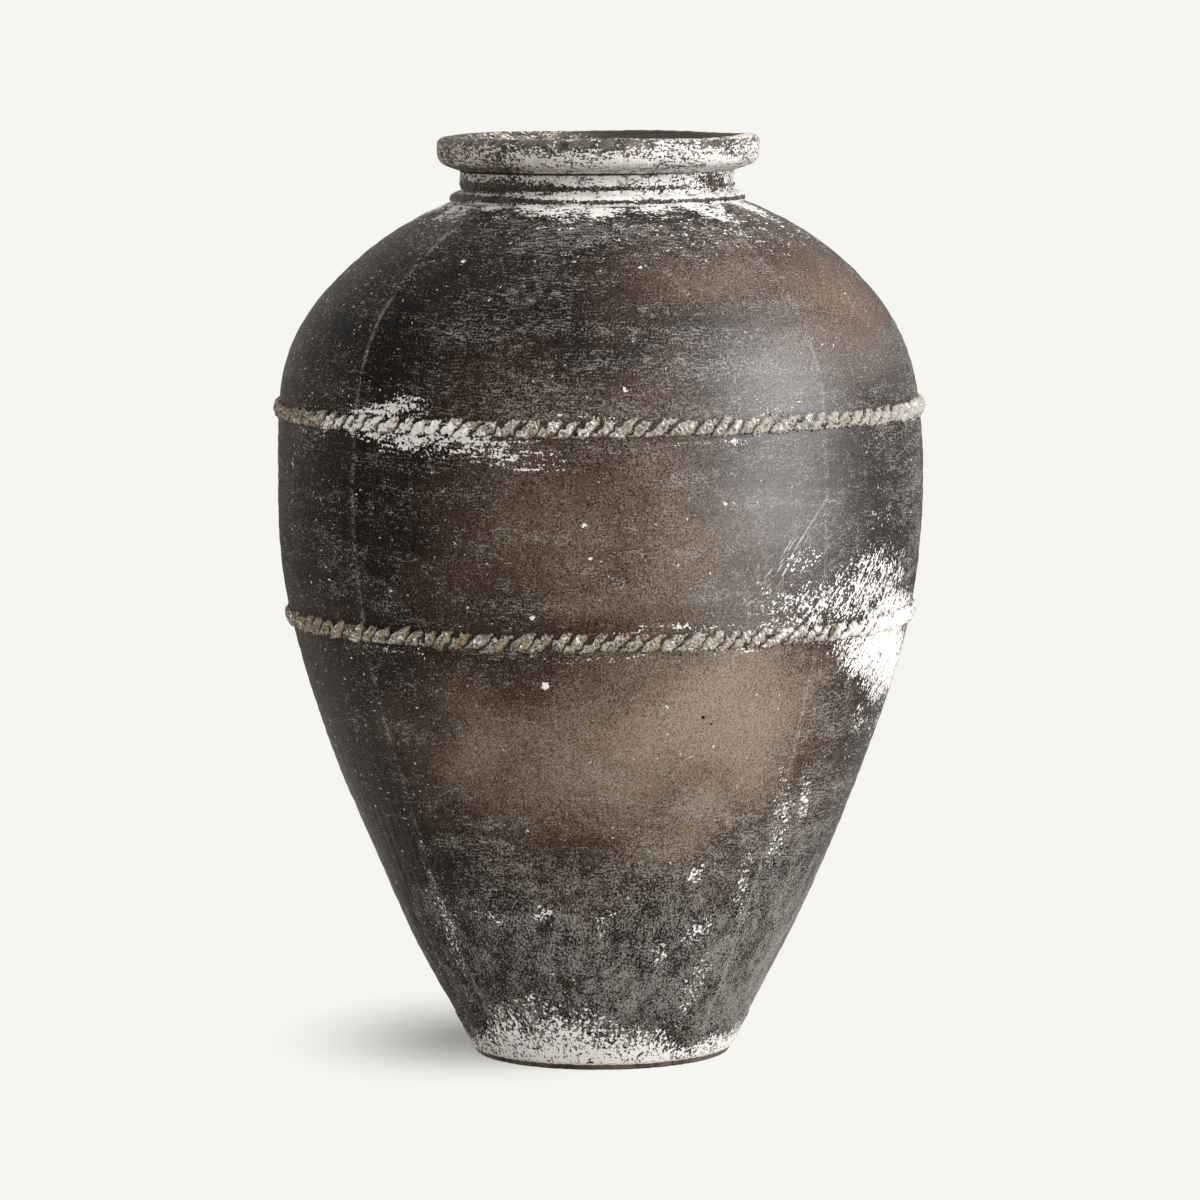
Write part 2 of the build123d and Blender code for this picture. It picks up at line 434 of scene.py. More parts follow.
def wandered(azimuth, height, seed, reach):
    """A place on the jar shifted by waves of up to about reach metres, to give patches cloudy edges."""
    shift = hand_waves(azimuth, height, seed, 20, 16, 14, reach)
    rise = hand_waves(azimuth, height, seed + 1, 20, 16, 14, reach)
    return azimuth + shift / belly_radius, height + rise


def chalk_wash(azimuth, height):
    """How much chalk wash is left: about the share of the surface that it covers. Patches where it was
    daubed, a ring round the foot that climbs on one side, and a ring under the collar that thins out down
    the shoulder."""
    patches = [
        (-42, 0.511, 14, 0.011, 0.72), (-27, 0.503, 16, 0.012, 0.88), (-39, 0.523, 10, 0.010, 0.88),
        (-18, 0.493, 12, 0.010, 0.56), (-12, 0.484, 11, 0.010, 0.36), (-4, 0.508, 12, 0.010, 0.42),
        (70, 0.323, 18, 0.039, -250, 1.14), (68, 0.354, 20, 0.018, 1.04), (60, 0.380, 16, 0.030, 0.63),
        (49, 0.374, 20, 0.021, 0.62), (40, 0.408, 4, 0.018, 215, 0.36), (66, 0.278, 6, 0.016, 0.44),
        (80, 0.266, 6, 0.016, 0.42), (58, 0.430, 3, 0.012, 0.30), (42, 0.352, 16, 0.011, 0.60),
        (31, 0.117, 5, 0.011, 0.52), (19, 0.104, 3, 0.014, 0.46), (-14, 0.131, 5, 0.009, 0.42),
        (-27, 0.131, 5, 0.008, 0.40), (4, 0.122, 3, 0.012, 0.38), (25, 0.165, 2.5, 0.010, 0.48),
        (47, 0.195, 4, 0.055, -60, 0.40), (34, 0.062, 5, 0.030, 30, 0.42), (-47, 0.110, 4, 0.060, 40, 0.34),
        (53, 0.215, 3, 0.030, -40, 0.42), (41, 0.150, 3, 0.030, -60, 0.38), (62, 0.440, 3, 0.016, 0.34),
        (150, 0.420, 22, 0.040, 40, 0.80), (-128, 0.345, 18, 0.030, 0.85), (-160, 0.508, 17, 0.018, 0.80),
        (-100, 0.250, 11, 0.038, 60, 0.45), (118, 0.300, 13, 0.024, 0.42),
    ]
    turn, rise = wandered(azimuth, height, 81, 0.0035)
    left = strongest(turn, rise, patches, 1.5)
    uneven = hand_waves(azimuth, height, 11, 14, 9, 4, 1.0)
    reach = 0.008
    for bearing, wide, more in ((-22, 26, 0.025), (10, 16, 0.008), (125, 30, 0.022)):
        reach = reach + more * hump(angle_from(azimuth, bearing), wide)
    climb = (rise - foot_wash_bottom) / reach
    foot_ring = 0.98 - 0.48 * np.clip(climb, 0, 1) ** 0.8 - 0.50 * np.clip(climb - 1, 0, 1)
    foot_ring = foot_ring - 0.26 * blot(azimuth, height, 42, 0.015, 22, 0.05)
    foot_ring = foot_ring - 0.26 * blot(azimuth, height, -62, 0.012, 24, 0.05)
    drop = collar_wash_top - rise + 0.0008 * uneven
    thick = stepped(drop, 0.78, (-0.57, 0, 0.006), (-0.03, 0.016, 0.030), (-0.20, 0.034, 0.050))
    thin = stepped(drop, 0.80, (-0.50, 0, 0.006), (-0.15, 0.006, 0.016))
    side = np.clip(0.5 + 0.75 * np.sin(azimuth + 0.17), 0, 1)
    collar_ring = thin + (thick - thin) * side
    spill = np.zeros_like(left)
    for level, half_tall in rope_levels.values():
        off_rope = np.abs(rise - level) - half_tall
        spill = np.maximum(spill, (0.20 + 0.15 * uneven) * hump(off_rope, 0.0042))
    return np.clip(np.maximum.reduce([left, foot_ring, collar_ring, spill]), 0, 1.4)


def brown_clouds(azimuth, height):
    """Where the slip fired brown instead of charcoal: 0 is black-brown, 1 a light taupe."""
    clouds = [
        (4, 0.255, 42, 0.108, 0.72), (24, 0.280, 32, 0.095, 0.94), (-18, 0.265, 26, 0.080, 0.66),
        (2, 0.440, 40, 0.130, 0.57), (14, 0.405, 32, 0.105, 0.62), (58, 0.603, 28, 0.052, 0.56),
        (24, 0.210, 20, 0.060, 0.74), (10, 0.520, 30, 0.050, 0.50), (44, 0.310, 18, 0.050, 0.62),
        (30, 0.615, 28, 0.046, 0.57), (46, 0.560, 24, 0.040, 0.50), (55, 0.220, 28, 0.080, 0.30),
        (0, 0.205, 34, 0.055, 0.56), (4, 0.375, 24, 0.035, 0.62),
        (160, 0.300, 36, 0.070, 0.75), (-130, 0.420, 30, 0.070, 0.60), (120, 0.560, 28, 0.060, 0.55),
        (-95, 0.240, 18, 0.060, 0.45), (-170, 0.560, 30, 0.050, 0.4),
    ]
    turn, rise = wandered(azimuth, height, 83, 0.009)
    return np.clip(strongest(turn, rise, clouds), 0.15, 1)


def soot_clouds(azimuth, height):
    """Where kiln smoke blackened the slip."""
    clouds = [
        (-41, 0.465, 17, 0.085, 0.85), (-46, 0.580, 22, 0.065, 0.90), (-4, 0.585, 26, 0.030, 0.55),
        (-40, 0.330, 16, 0.060, 0.50), (-34, 0.175, 26, 0.030, 0.50), (72, 0.465, 12, 0.050, 0.50),
        (55, 0.315, 8, 0.028, 0.40), (-50, 0.120, 22, 0.060, 0.45), (-20, 0.470, 12, 0.030, 0.30),
        (-170, 0.420, 18, 0.080, 0.7), (100, 0.330, 14, 0.050, 0.5),
        (-110, 0.550, 22, 0.060, 0.6), (170, 0.150, 40, 0.050, 0.5),
    ]
    turn, rise = wandered(azimuth, height, 85, 0.014)
    low = 0.16 * ramp(rise, 0.185, 0.135)
    return np.clip(np.maximum(strongest(turn, rise, clouds), low), 0, 1)


def dust_and_edge_light(azimuth, height):
    """Share of the grain that fine chalk dust lies on: most on the shoulder and low on the right, and least
    on the left and where the slip fired brown. Spots on the right edge are painted rim light, and the one
    taken off the left edge is painted shade."""
    low = stepped(height, 0, (0.11, 0.230, 0.140), (0.04, 0.095, 0.065))
    high = stepped(height, 0, (0.04, 0.560, 0.610), (0.07, 0.630, 0.650))
    # (80, 0.48) and (70, 0.065) are painted rim light on the right edge, (-66, 0.21) painted shade on the
    # left edge
    spots = [
        (58, 0.205, 28, 0.100, 0.07), (46, 0.200, 26, 0.050, 0.08), (70, 0.065, 24, 0.070, 0.22),
        (2, 0.540, 26, 0.028, 0.05), (80, 0.480, 12, 0.090, 0.17), (8, 0.275, 36, 0.065, -0.04),
        (14, 0.185, 22, 0.030, 0.05), (14, 0.085, 22, 0.050, 0.09), (-26, 0.125, 16, 0.030, 0.05),
        (-50, 0.460, 34, 0.200, -0.05), (-66, 0.210, 22, 0.120, -0.24), (-54, 0.610, 26, 0.060, -0.06),
        (64, 0.600, 16, 0.045, -0.14), (22, 0.605, 14, 0.035, -0.07), (52, 0.300, 8, 0.030, 0.12),
    ]
    dust = 0.325 + low + high + hand_waves(azimuth, height, 14, 24, 14, 12, 0.02)
    for *place, amount in spots:
        dust = dust + amount * blot(azimuth, height, *place)
    return np.clip(dust, 0, 1)


def burnish(azimuth, height):
    """How far the slip is burnished, from matt to soft gloss: most on the right of belly and shoulder."""
    gloss = 0.16 + 0.80 * blot(azimuth, height, 42, 0.510, 44, 0.150, 0, 1.5)
    return gloss + 0.30 * blot(azimuth, height, -165, 0.480, 60, 0.160)


def dust_film(azimuth, height):
    """Share of a painted sheen, smooth pale grey where the lamp's highlight falls on the right, and some
    behind.
    """
    spots = [
        (37, 0.525, 14, 0.055, 0.35), (35, 0.455, 14, 0.070, 0.33), (58, 0.552, 18, 0.026, 0.10),
        (30, 0.385, 12, 0.045, 0.18), (170, 0.500, 32, 0.080, 0.24),
    ]
    return strongest(azimuth, height, spots)


def under_rope(height):
    """1 on the wall behind a rope band, where wash and dust didn't reach, darkened as painted shade in the
    gaps.
    """
    share = 0 * height
    for level, half_tall in rope_levels.values():
        share = np.maximum(share, ramp(np.abs(height - level) / half_tall, 1.05, 0.80))
    return share


def seam_distance(azimuth, radius):
    """Distance in metres along the wall from the nearest seam between two quarters."""
    return radius * np.radians(np.abs((np.degrees(azimuth) + 90) % 90 - 45))


def wall_relief(azimuth, height, radius):
    """Height of the wall's skin over the true outline: hand unevenness, horizontal scraping, upright paring
    marks on the lower wall, and the seam's low fin with a cut line in its middle."""
    seam = seam_distance(azimuth, radius)
    broken = 0.6 + 0.4 * np.sin(150 * height + 3 * np.sin(41 * height))
    skin = hand_waves(azimuth, height, 21, 26, 7, 7, wall_waviness)
    skin = skin + hand_waves(azimuth, height, 22, 24, 4, 110, 0.00012)
    low = ramp(height, 0.30, 0.180)
    skin = skin + low * hand_waves(azimuth, height, 23, 24, 140, 5, 0.00010)
    fin = seam_fin * hump(seam, 0.006)
    cut = seam_cut * broken * hump(seam, 0.0013)
    return skin + fin - cut


def quarter_wall(side, middle):
    """One quarter: the outline down outside, the bed on the slab, and the inner outline up again, carried
    through 90 degrees with columns drawn together towards the seams."""
    outer = body_outline(0.0, mouth_radius, foot_band_top, 0.0029)
    foot = run((outer[0, -1], foot_band_top), (slab_flange_radius, slab_flange_top), foot_rows)
    foot = np.vstack([foot, np.full(foot_rows, outer[2, -1])])
    skin_rows = outer.shape[1] + foot_rows
    inner = body_outline(wall_thick, mouth_radius, slab_top, 0.012)[:, ::-1]
    bed = np.array([[slab_flange_radius, slab_flange_top, 0], [slab_boss_radius, slab_flange_top, 0]]).T
    section = np.concatenate([outer, foot, bed, inner], axis=1)
    share = np.linspace(-1, 1, wall_columns)
    azimuth = np.radians(middle + 45 * (0.6 * share + 0.4 * np.sin(share * math.pi / 2)))[None, :]
    r, z, facing = section[:, :, None] + 0 * azimuth
    rows = np.arange(section.shape[1])[:, None]
    ends = ramp(rows, 0, 4) * ramp(rows, skin_rows, skin_rows - 6)
    lift = wall_relief(azimuth, z, r) * ends
    wall = carried(f"wall_{side}", r + lift * np.cos(facing), z + lift * np.sin(facing), azimuth, "part")
    outside = (rows < skin_rows + 1) * np.ones_like(r)
    seam_chalk = hump(seam_distance(azimuth, r), 0.0019) * outside
    seam_chalk = seam_chalk * (0.75 + 0.55 * blot(azimuth, z, -45, 0.600, 12, 0.090, 0, 2))
    behind_rope_and_shade = under_rope(z)
    paint(
        wall,
        chalk=chalk_wash(azimuth, z) * outside * (1 - 0.60 * behind_rope_and_shade) + 0.18 * (1 - outside),
        brown=brown_clouds(azimuth, z),
        # Soot behind the rope bands is painted shade in the gaps between lobes
        soot=(soot_clouds(azimuth, z) + 0.30 * behind_rope_and_shade) * outside,
        dust=dust_and_edge_light(azimuth, z) - 0.06 * behind_rope_and_shade,
        film=dust_film(azimuth, z) * outside,
        gloss=burnish(azimuth, z),
        russet=0.5 * blot(azimuth, z, 62, 0.595, 18, 0.045) * outside,
        seam=seam_chalk,
        upright=ramp(z, 0.20, 0.120),
        slant=np.minimum(1, 1.6 * blot(azimuth, z, 62, 0.36, 26, 0.075)),
        scratch=blot(azimuth, z, 36, 0.405, 4.5, 0.036, 215, 1.5),
    )
    return wall


def chalk_cover(finish, amount, strokes, size=450.0):
    """Rubbed chalk wash as a share from 0 to 1. The grain under it is the threshold: where little is left
    only the crests hold chalk, as dots and strokes, and where much is left only deep hollows stay dark."""
    any_left = finish.fade(amount, 0.04, 0.24)
    worms = finish.centred(finish.noise(size, 1.5, 0.5, warp=0.6))
    grain = finish.tally((worms, 2.2), (finish.centred(strokes), 2.0), (finish.waver(110.0), 0.8))
    left = finish.tally(amount, (any_left, 0.40), -1.03)
    return finish.fade(finish.sum("ADD", left, grain), -0.025, 0.035)


def flecks(finish, marks):
    """Spots as a share from 0 to 1, each at its bearing and height with its own radius."""
    outline = body_outline(0.0, mouth_radius, foot_band_top, 0.002)[:, ::-1]
    warped = finish.shifted(300.0, 0.006)
    cover = 0.0
    for bearing, height, size in marks:
        radius = np.interp(height, outline[1], outline[0])
        turn = math.radians(bearing)
        spot = (radius * math.sin(turn), -radius * math.cos(turn), height)
        away = finish.vector("DISTANCE", warped, spot, out="Value")
        cover = finish.sum("MAXIMUM", finish.fade(away, size * 1.15, size * 0.8), cover)
    return cover


def chips(finish, cells, chosen, size):
    """Chips strewn at random: so many cells per metre, a chosen share of them with a chip of size cells."""
    sockets = {"Vector": finish.shifted(300.0, 0.007), "Scale": cells}
    spots = finish.add("ShaderNodeTexVoronoi", sockets, out="Distance")
    lot = finish.add("ShaderNodeSeparateColor", {0: spots.node.outputs["Color"]})
    picked = finish.fade(lot, chosen, chosen * 0.96)
    return finish.times(finish.fade(spots, size, size * 0.75), picked)


def slip_finish():
    """Dark slip: charcoal to taupe by the firing clouds, darker behind the rope bands as painted shade,
    chalk dust on its grain with painted rim light on the right edge, a painted sheen on the right, brushed
    and pared streaks, scratches, flecks and pits, and chalk wash over it. Slip has a dull sheen and chalk
    none."""
    slip = Finish("dark_slip")
    clouds = slip.waver(24.0, 5.0)
    lumps = slip.waver(95.0, 4.0, 0.62)
    grain = slip.waver(740.0, 2.0, 0.75)
    brown = slip.tally(slip.field("brown"), (clouds, 0.20), (lumps, 0.16))
    soot = slip.tally(slip.field("soot"), (clouds, 0.28), (lumps, 0.2))
    pitted = slip.times(slip.fade(grain, 0.03, -0.14), slip.fade(brown, 0.35, 0.95, 0.88, 0.56))
    crumbs = slip.times(slip.fade(grain, 0.04, 0.18), slip.fade(brown, 0.30, 0.90, 0.0, 0.55))

    brushed = slip.drawn((15, 15, 70), 6.0, 0.66)
    pared = slip.drawn((75, 75, 14), 6.0, 0.66)
    low = slip.field("upright")
    streaks = slip.centred(slip.blend(low, brushed, pared))
    level_hairs = slip.drawn((130, 130, 900), 3.0, 0.7)
    upright_hairs = slip.drawn((900, 900, 130), 3.0, 0.7)
    hairs = slip.centred(slip.blend(low, level_hairs, upright_hairs))
    dust = slip.tally(slip.field("dust"), (lumps, 0.34), (clouds, 0.15), (streaks, 0.90), (hairs, 1.4))
    dust = slip.tally(dust, (slip.field("seam"), 0.10))
    specks = slip.fade(slip.tally(dust, (grain, 1.60), -0.50), -0.10, 0.26)
    # Painted sheen: smooth pale grey laid on the slip on the right, a little streaked
    film = slip.times(slip.field("film"), slip.tally(1.0, (streaks, 0.8), (grain, 0.6)))

    hatched = slip.strokes(scratch_bearing, scratch_lean, 55.0, 430.0)
    level_strokes = slip.drawn((70, 70, 420), 3.0, 0.6)
    upright_strokes = slip.drawn((420, 420, 90), 3.0, 0.6)
    strokes = slip.blend(low, level_strokes, upright_strokes)
    strokes = slip.blend(slip.field("slant"), strokes, hatched)
    broken = slip.fade(slip.drawn((34, 34, 60), 4.0), 0.40, 0.62)
    seam_line = slip.times(slip.field("seam"), broken)
    seam_line = slip.times(seam_line, slip.fade(grain, -0.10, 0.12, 0.0, 0.60))
    cover = chalk_cover(slip, slip.field("chalk"), strokes)
    lines = slip.strokes(scratch_bearing, scratch_lean, 7.0, 800.0)
    lines = slip.times(slip.fade(lines, 0.56, 0.64), slip.field("scratch"))
    cover = slip.sum("MAXIMUM", cover, slip.times(lines, 0.75))
    cover = slip.sum("MAXIMUM", cover, flecks(slip, chalk_flecks))
    cover = slip.sum("MAXIMUM", cover, slip.times(chips(slip, 120.0, 0.22, 0.12), 0.8))
    stains = slip.fade(slip.noise(48.0, 4.0), 0.52, 0.75)
    pits = flecks(slip, black_pits)

    tone = slip.laid(
        slip_black,
        (slip.fade(brown, 0.0, 0.45), slip_umber),
        (slip.fade(brown, 0.35, 0.95), slip_taupe),
        (slip.field("russet"), slip_russet),
        (slip.fade(soot, 0.10, 0.95, 0.0, 0.9), soot_black),
        (pitted, soot_black),
        (crumbs, slip_sand),
        (slip.times(specks, 0.85), dust_grey),
        (film, film_grey),
        (seam_line, seam_buff),
        (cover, slip.mix(stains, chalk_white, chalk_stained)),
        (pits, soot_black),
    )
    gloss = slip.times(slip.fade(grain, -0.14, 0.05, 0.06, 0.44), slip.field("gloss"))
    # Plain gloss for a viewer that can't follow the grain
    slip.shader.inputs["Specular IOR Level"].default_value = slip_gloss
    rough = slip.tally(0.43, (cover, 0.45), (specks, 0.10), (lumps, 0.20))
    raised = slip.sum("SUBTRACT", cover, pits)
    return slip.done(tone, rough, gloss, (grain, 0.00045), (streaks, 0.00030), (raised, 0.0005))


dark_slip = slip_finish()
for side, middle in quarter_middles.items():
    fixed_as(quarter_wall(side, middle), f"wall_{side}", dark_slip)


# Coils inside
# A coil of soft clay is worked into the angle between floor and wall, and one is smeared over each seam
# inside, to hold the pressed quarters together. They are left bare and show only through the mouth.

floor_coil_leg = 0.015
seam_coil_wide = 0.022
seam_coil_deep = 0.005
seam_coil_columns = 15
seam_coil_top = mouth_radius + 0.014
seam_bearings = {"front_right": 45.0, "back_right": 135.0, "back_left": -135.0, "front_left": -45.0}
coil_clay = bare_clay("bare_coil_clay", (0.34, 0.28, 0.22, 1), (0.17, 0.13, 0.105, 1))


def floor_coil():
    """A hollowed fillet between floor and wall: its face is a quarter round that sags into the angle."""
    top = slab_top + floor_coil_leg
    back = body_outline(wall_thick, mouth_radius, slab_top, 0.003)
    back = back[:2, back[1] < top]
    top_r = back[0, 0]
    foot_r = slab_boss_radius - floor_coil_leg
    share = np.linspace(0, 1, 12)
    sag = 0.0022 * np.sin(share * math.pi)
    face_r = foot_r + (top_r - foot_r) * share + sag
    face_z = slab_top + (back[1, 0] - slab_top) * share - sag
    section = np.concatenate([np.stack([face_r, face_z])[:, ::-1], back[:, ::-1]], axis=1)
    azimuth = full_turn(360)
    r, z = section[:, ::-1, None] + 0 * azimuth
    uneven = hand_waves(azimuth, z, 31, 20, 30, 20, 0.0006)
    return carried("floor_coil", r + uneven * (r < top_r - 0.002), z, azimuth, "ring")


def seam_coil(seam, bearing):
    """A low rounded strip along the inside of a seam: across it the height over the wall is a half wave."""
    back = body_outline(wall_thick, seam_coil_top, slab_top + floor_coil_leg, 0.006)
    across = np.linspace(-1, 1, seam_coil_columns)
    lift = seam_coil_deep * np.cos(across * math.pi / 2) ** 0.7
    ends = np.clip(np.minimum(np.arange(back.shape[1]), np.arange(back.shape[1])[::-1]) / 3, 0.15, 1)
    section_across = np.concatenate([across, across[::-1]])
    height_over = np.concatenate([lift, np.full(seam_coil_columns, -0.001)])
    r, z, facing = back[:, None, :] + 0 * section_across[None, :, None]
    azimuth = math.radians(bearing) + section_across[:, None] * seam_coil_wide / 2 / r
    smears = 1 + hand_waves(azimuth, z, 32, 20, 30, 40, 0.15)
    lift = height_over[:, None] * np.where(height_over[:, None] > 0, ends[None, :] * smears, 1)
    r = r - lift * np.cos(facing)
    z = z - lift * np.sin(facing)
    return carried(f"seam_coil_{seam}", r, z, azimuth, "part")


fixed_as(floor_coil(), "floor_coil", coil_clay)
for seam, bearing in seam_bearings.items():
    fixed_as(seam_coil(seam, bearing), f"seam_coil_{seam}", coil_clay)


# Rope bands
# Two cordons of buff clay laid round the body in quarter lengths and pressed with a slanting finger at
# every lobe, so that they look like twisted rope. Pale grains lie along each lobe and tan clay shows on its
# flank. The grooves are darkened as painted shade, less on the right, where the bands are also paler with
# painted light.

rope_proud = 0.0043
rope_pitch = 0.0150
rope_lean = math.tan(math.radians(44))
rope_bed = 0.0016
rope_dark = (0.060, 0.046, 0.037, 1)
rope_buff = (0.125, 0.100, 0.080, 1)
rope_tan = (0.285, 0.190, 0.112, 1)
rope_pale = (0.47, 0.440, 0.400, 1)
# Painted shade in the rope's grooves
rope_groove_shade = (0.030, 0.0235, 0.0185, 1)
rope_face_rows = 37


def rope_grains_and_light(azimuth, height, level):
    """Share of pale grains on a rope band and painted light: few on the left, most on the right, towards
    the lamp.
    """
    right = np.clip(0.5 + 0.5 * np.sin(azimuth + 0.35), 0, 1)
    bare = 0.26 if level < belly_height else 0.32
    return bare + (0.66 - bare) * right**1.6 + hand_waves(azimuth, height, 45, 16, 12, 6, 0.05)


def rope_quarter(level, side, middle, half_tall):
    """A quarter of a rope band. Along it the lobes are counted off by distance over pitch, slanting with
    the lean. A lobe is a blade that rises steeply and slopes off behind, with its own length and size,
    and the gaps between lobes open upwards like those of a comb, down to the wall. A low ridge joins
    their lower ends. Blade, flank and groove are shares by the place in the lobe."""
    outline = body_outline(0.0, mouth_radius, foot_band_top, 0.0005)[:, ::-1]
    band = np.concatenate([np.linspace(1.25, -1.25, rope_face_rows), np.linspace(-1.25, 1.25, 9)])[:, None]
    z = level + band * half_tall
    r = np.interp(z, outline[1], outline[0])
    facing = np.interp(z, outline[1], outline[2])
    azimuth = np.radians(middle + np.linspace(-45, 45, 720))[None, :]
    crest_r = np.interp(level, outline[1], outline[0]) + rope_proud
    lobes = round(math.pi / 2 * crest_r / rope_pitch)
    along = (azimuth - azimuth[0, 0]) / (math.pi / 2) * lobes
    uneven = hand_waves(azimuth, level + 0 * band, 41, 12, 26, 1, 0.16)
    wander = hand_waves(azimuth, z, 43, 30, 240, 110, 0.085)
    count = along - band * half_tall * rope_lean / rope_pitch + uneven + wander
    lobe = np.floor(count)
    part = count - lobe
    draw = np.random.default_rng(SEED + round(level * 1000) + round(middle) % 360)
    which = (lobe.astype(int) + 3) % (lobes + 8)
    lobe_size = draw.uniform(0.70, 1.12, lobes + 8)[which]
    lobe_top = draw.uniform(0.72, 1.14, lobes + 8)[which]
    lobe_foot = draw.uniform(0.84, 1.18, lobes + 8)[which]
    upper = ramp(band, -1, 1)
    bare_side = np.clip(0.5 - 0.5 * np.sin(azimuth + 0.35), 0, 1)
    gap = 0.025 + (0.085 + 0.110 * bare_side) * upper**1.5
    steep = np.sin(ramp(part, gap, gap + 0.20) * math.pi / 2)
    slope = np.sin(ramp(part, 1 - gap, 0.45 - gap) * math.pi / 2)
    ragged = 1 + hand_waves(azimuth, z, 44, 30, 420, 200, 0.07)
    ends = np.clip(1 - np.abs(band * ragged / np.where(band > 0, lobe_top, lobe_foot)) ** 2.4, 0, 1) ** 0.6
    pillow = steep * slope**0.8 * ends * lobe_size
    ridge = 0.30 * np.clip(1 - np.abs((band * ragged + 0.35) / 0.62) ** 2.4, 0, 1) ** 0.6
    height = rope_proud * np.maximum(pillow, ridge)
    height = height + hand_waves(azimuth, z, 42, 40, 480, 280, 0.00045) * (height > 0)
    front = (np.arange(len(band)) < rope_face_rows)[:, None]
    lift = np.where(front & (height > 0.0002), height - 0.0004, -rope_bed)
    lift = lift + wall_relief(azimuth, z, r) * 0.8
    skin_r = r + lift * np.cos(facing)
    skin_z = z + lift * np.sin(facing)
    rope = carried(f"rope_{side}", skin_r, skin_z, azimuth + 0 * band, "part")
    blade = hump(part - gap - 0.14, 0.08) * ends
    flank = hump(part + gap - 0.82, 0.14)
    # Low places between lobes, darkened in the finish as painted shade
    groove = ramp(pillow, 0.58, 0)
    wash = chalk_wash(azimuth, z)
    pale = rope_grains_and_light(azimuth, z, level)
    paint(rope, chalk=wash, blade=blade, flank=flank, groove=groove, pale=pale)
    return rope


def rope_finish():
    """Buff clay like coarse sugar: pale, tan and dark grains mixed, pale along each blade, tan on its
    flank and painted shade in the groove, paler on the right as painted light, and chalk where the wash
    was daubed."""
    clay = Finish("rope_clay")
    grain = clay.waver(720.0, 2.0, 0.75)
    other_grain = clay.centred(clay.drawn((616, 560, 504), 2.0, 0.75))
    lumps = clay.waver(150.0, 4.0, 0.65)
    groove = clay.field("groove")
    grains_and_light = clay.field("pale")
    tan = clay.tally((clay.field("flank"), 0.9), (other_grain, 1.6), (lumps, 1.2), (grains_and_light, 0.3), -0.30)
    pale = clay.tally(grains_and_light, (clay.field("blade"), 0.40), (grain, 2.5), (lumps, 0.9))
    pale = clay.tally(pale, (groove, -0.36), -0.40)
    # Painted shade in the grooves, less on the right where the painted light lies
    depth = clay.tally((groove, 0.85), (lumps, 0.5), (grain, -1.2), (grains_and_light, -0.45))
    left = clay.tally((clay.field("chalk"), 1.2), (groove, -1.05), 0.11)
    cover = chalk_cover(clay, left, clay.noise(330.0, 3.0, 0.6))
    tone = clay.laid(
        rope_dark,
        (clay.fade(lumps, -0.15, 0.15), rope_buff),
        (clay.fade(tan, 0.05, 0.50, 0.0, 0.9), rope_tan),
        (clay.fade(pale, -0.10, 0.30, 0.0, 0.90), rope_pale),
        (clay.fade(depth, 0.22, 0.60, 0.0, 0.85), rope_groove_shade),
        (cover, chalk_white),
    )
    return clay.done(tone, 0.88, 0.15, (grain, 0.0008), (lumps, 0.0008), (cover, 0.0005))


rope_clay = rope_finish()
for band, (level, half_tall) in rope_levels.items():
    for side, middle in quarter_middles.items():
        rope = rope_quarter(level, side, middle, half_tall)
        rope.name = f"{band}_rope_{side}"
        fixed_as(rope, f"{band}_rope_{side}", rope_clay)


# Neck
# A ring of clay set through the mouth of the shoulder with a spigot, and up into the rim with a tongue.
# It is chalked all over, with a dark band rubbed bare above the collar.

throat_radius = 0.093
neck_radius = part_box("neck_ring")[1][0]
neck_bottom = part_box("neck_ring")[0][2]
neck_seat = 0.6714
spigot_top = 0.6738
neck_ridge = 0.6825
neck_stripe = 0.6820
rim_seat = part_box("rim_roll")[0][2]
tongue_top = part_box("neck_ring")[1][2]
ring_turns = full_turn(840)
joint_grime_and_shade = (0.026, 0.0185, 0.0142, 1)


def worn_chalk_finish(name, bare, under):
    """Thick chalk wash worn through to bare clay: the clay's own clouded colour and dusty grain, chalk over
    it that is stained, in places as painted shade and highlight, and crazed where it is thick, and a dark
    tone that is grime and painted shade in the joints and painted shade inside the mouth."""
    worn = Finish(name)
    lumps = worn.waver(120.0, 4.0, 0.65)
    grain = worn.waver(500.0, 3.0, 0.7)
    specks = worn.fade(worn.tally(grain, (lumps, 0.25)), 0.02, 0.16)
    strokes = worn.drawn((120, 120, 600), 4.0, 0.6)
    cover = chalk_cover(worn, worn.field("chalk"), strokes, 520.0)
    sockets = {"Vector": worn.shifted(60.0, 0.012, 0.0), "Scale": 95.0}
    crazing = worn.add("ShaderNodeTexVoronoi", sockets, out="Distance", feature="DISTANCE_TO_EDGE")
    thick = worn.fade(worn.noise(34.0), 0.48, 0.62)
    crazed = worn.times(worn.fade(crazing, 0.05, 0.015), thick)
    stains = worn.tally(worn.noise(60.0, 5.0, 0.65), (worn.field("stain"), 0.35))
    stains = worn.fade(stains, 0.48, 0.72)
    white = worn.laid(chalk_white, (stains, chalk_stained), (worn.times(crazed, 0.8), under))
    grime_and_shade = worn.tally(worn.field("groove"), (lumps, 0.6), (grain, 0.3))
    tone = worn.laid(
        under,
        (worn.fade(lumps, -0.14, 0.14), bare),
        (worn.times(specks, 0.5), dust_grey),
        (cover, white),
        (worn.fade(grime_and_shade, 0.35, 0.80, 0.0, 0.94), joint_grime_and_shade),
    )
    rough = worn.tally(0.55, (cover, 0.36))
    raised = worn.tally(cover, (crazed, -0.4))
    return worn.done(tone, rough, 0.25, (grain, 0.0006), (lumps, 0.0010), (raised, 0.0007))


